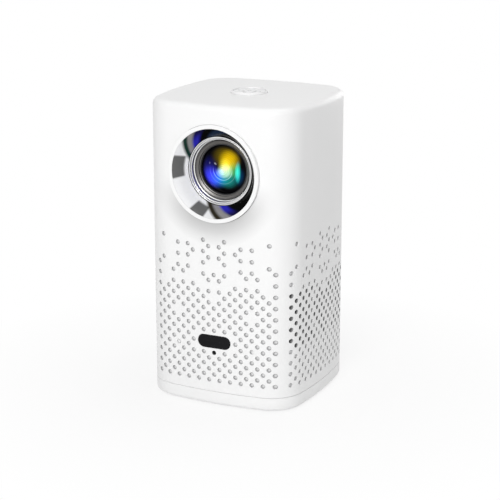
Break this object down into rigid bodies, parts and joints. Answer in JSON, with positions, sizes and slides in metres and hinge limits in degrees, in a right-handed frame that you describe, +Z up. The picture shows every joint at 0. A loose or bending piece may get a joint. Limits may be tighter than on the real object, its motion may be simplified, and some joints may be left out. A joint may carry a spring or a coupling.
{
  "type": "tower projector with a disc drive",
  "caption": "Upright square-plan projector with perforated walls, a lens in a polished cone, touch keys on top and a disc tray in the foot of the back wall.",
  "frame": {"origin": "middle of the case's plan on the table, under the rubber feet", "axes": "+Z up, the lens looks along -Y, the sockets and the disc tray face +Y, the speaker is on +X"},
  "size_m": [0.145, 0.1445, 0.267],
  "materials": {
    "white_shell": "satin-gloss white",
    "white_keys": "satin white with faint grey signs",
    "black_gloss": "glossy black",
    "polished_cone": "mirror-polished, with a white rim",
    "bright_lip": "fine-turned, bright",
    "satin_ring": "satin grey-brown anodised",
    "black_plastic": "fine texture",
    "coated_glass": "polished, blue and amber coating",
    "clear_sheet": "clear, finely ringed",
    "panel_glass": "dark, smooth",
    "silver_mirror": "front-silvered",
    "lamp_plate": "bare plate with a yellow emitter",
    "sink_metal": "extruded, plain",
    "sheet_steel": "zinc-plated sheet",
    "black_steel": "black paint",
    "paper_cone": "dark pressed paper",
    "ferrite": "dull dark grey",
    "bright_rod": "ground and plated",
    "brass_thread": "turned",
    "board_green": "lacquered fibre board",
    "rubber_dark": "dull"
  },
  "bodies": {
    "case": {"housing": "white_shell", "base_cover": "white_shell", "pad_ring": "white_shell", "front_plate": "black_gloss", "receiver": "black_gloss", "lens_bezel": "polished_cone", "lens_mount": "bright_lip", "engine_box": "black_plastic", "panel_frame": "black_plastic", "fan_frame": "black_plastic", "board_chips": "black_plastic", "socket_plate": "black_plastic", "sound_jack": "black_plastic", "power_inlet": "black_plastic", "lower_fresnel": "clear_sheet", "upper_fresnel": "clear_sheet", "condenser_lens": "clear_sheet", "picture_panel": "panel_glass", "fold_mirror": "silver_mirror", "lamp": "lamp_plate", "heat_sink": "sink_metal", "engine_bracket": "sheet_steel", "drive_pan": "sheet_steel", "drive_cover": "sheet_steel", "video_socket": "sheet_steel", "data_socket_a": "sheet_steel", "data_socket_b": "sheet_steel", "dome_switches": "sheet_steel", "speaker_basket": "black_steel", "speaker_cone": "paper_cone", "speaker_magnet": "ferrite", "tripod_bush": "brass_thread", "main_board": "board_green", "socket_board": "board_green", "key_board": "board_green", "rubber_feet": "rubber_dark"},
    "tray": {"disc_tray": "black_plastic", "tray_door": "white_shell", "deck_plate": "sheet_steel", "guide_rods": "bright_rod", "sled_motor": "sheet_steel", "spindle_motor": "sheet_steel"},
    "runners": {"runner_right": "sheet_steel", "runner_left": "sheet_steel"},
    "spindle": {"turntable": "black_plastic"},
    "sled": {"laser_sled": "black_plastic", "objective": "coated_glass"},
    "screw": {"lead_screw": "brass_thread"},
    "focus": {"focus_ring": "satin_ring"},
    "lens": {"lens_cell": "black_plastic", "front_glass": "coated_glass", "rear_glass": "coated_glass"},
    "fan": {"fan_rotor": "black_plastic"},
    "eject": {"eject_button": "white_keys"},
    "key_power": {"power_key": "white_keys"},
    "key_back": {"back_key": "white_keys"},
    "key_left": {"left_key": "white_keys"},
    "key_front": {"front_key": "white_keys"},
    "key_right": {"right_key": "white_keys"}
  },
  "joints": [
    {"name": "tray_slide", "type": "slide", "parent": "case", "child": "tray", "axis": [0, 1, 0], "range_m": [0, 0.125]},
    {"name": "runner_slide", "type": "slide", "parent": "case", "child": "runners", "axis": [0, 1, 0], "range_m": [0, 0.0625]},
    {"name": "turntable_spin", "type": "hinge", "parent": "tray", "child": "spindle", "pos_m": [0, 0, 0.0345], "axis": [0, 0, 1], "continuous": true},
    {"name": "sled_slide", "type": "slide", "parent": "tray", "child": "sled", "axis": [0, 1, 0], "range_m": [0, 0.032]},
    {"name": "screw_spin", "type": "hinge", "parent": "tray", "child": "screw", "pos_m": [0.021, 0, 0.031], "axis": [0, 1, 0], "range_deg": [0, 3841]},
    {"name": "focus_turn", "type": "hinge", "parent": "case", "child": "focus", "pos_m": [0, -0.045, 0.2067], "axis": [0, 1, 0], "range_deg": [-60, 60]},
    {"name": "lens_shift", "type": "slide", "parent": "case", "child": "lens", "axis": [0, 1, 0], "range_m": [-0.002, 0.002]},
    {"name": "fan_spin", "type": "hinge", "parent": "case", "child": "fan", "pos_m": [0, 0.0515, 0.088], "axis": [0, 1, 0], "continuous": true},
    {"name": "eject_press", "type": "slide", "parent": "tray", "child": "eject", "axis": [0, -1, 0], "range_m": [0, 0.0008], "stiffness_N_per_m": 400},
    {"name": "power_press", "type": "slide", "parent": "case", "child": "key_power", "axis": [0, 0, -1], "range_m": [0, 0.0005], "stiffness_N_per_m": 600, "springref_m": -0.0002},
    {"name": "back_press", "type": "slide", "parent": "case", "child": "key_back", "axis": [0, 0, -1], "range_m": [0, 0.0005], "stiffness_N_per_m": 600, "springref_m": -0.0002},
    {"name": "left_press", "type": "slide", "parent": "case", "child": "key_left", "axis": [0, 0, -1], "range_m": [0, 0.0005], "stiffness_N_per_m": 600, "springref_m": -0.0002},
    {"name": "front_press", "type": "slide", "parent": "case", "child": "key_front", "axis": [0, 0, -1], "range_m": [0, 0.0005], "stiffness_N_per_m": 600, "springref_m": -0.0002},
    {"name": "right_press", "type": "slide", "parent": "case", "child": "key_right", "axis": [0, 0, -1], "range_m": [0, 0.0005], "stiffness_N_per_m": 600, "springref_m": -0.0002}
  ],
  "couplings": [
    {"joint": "runner_slide", "follows": "tray_slide", "ratio": 0.5},
    {"joint": "screw_spin", "follows": "sled_slide", "rad_per_m": 2094.4},
    {"joint": "lens_shift", "follows": "focus_turn", "m_per_rad": 0.0019}
  ]
}
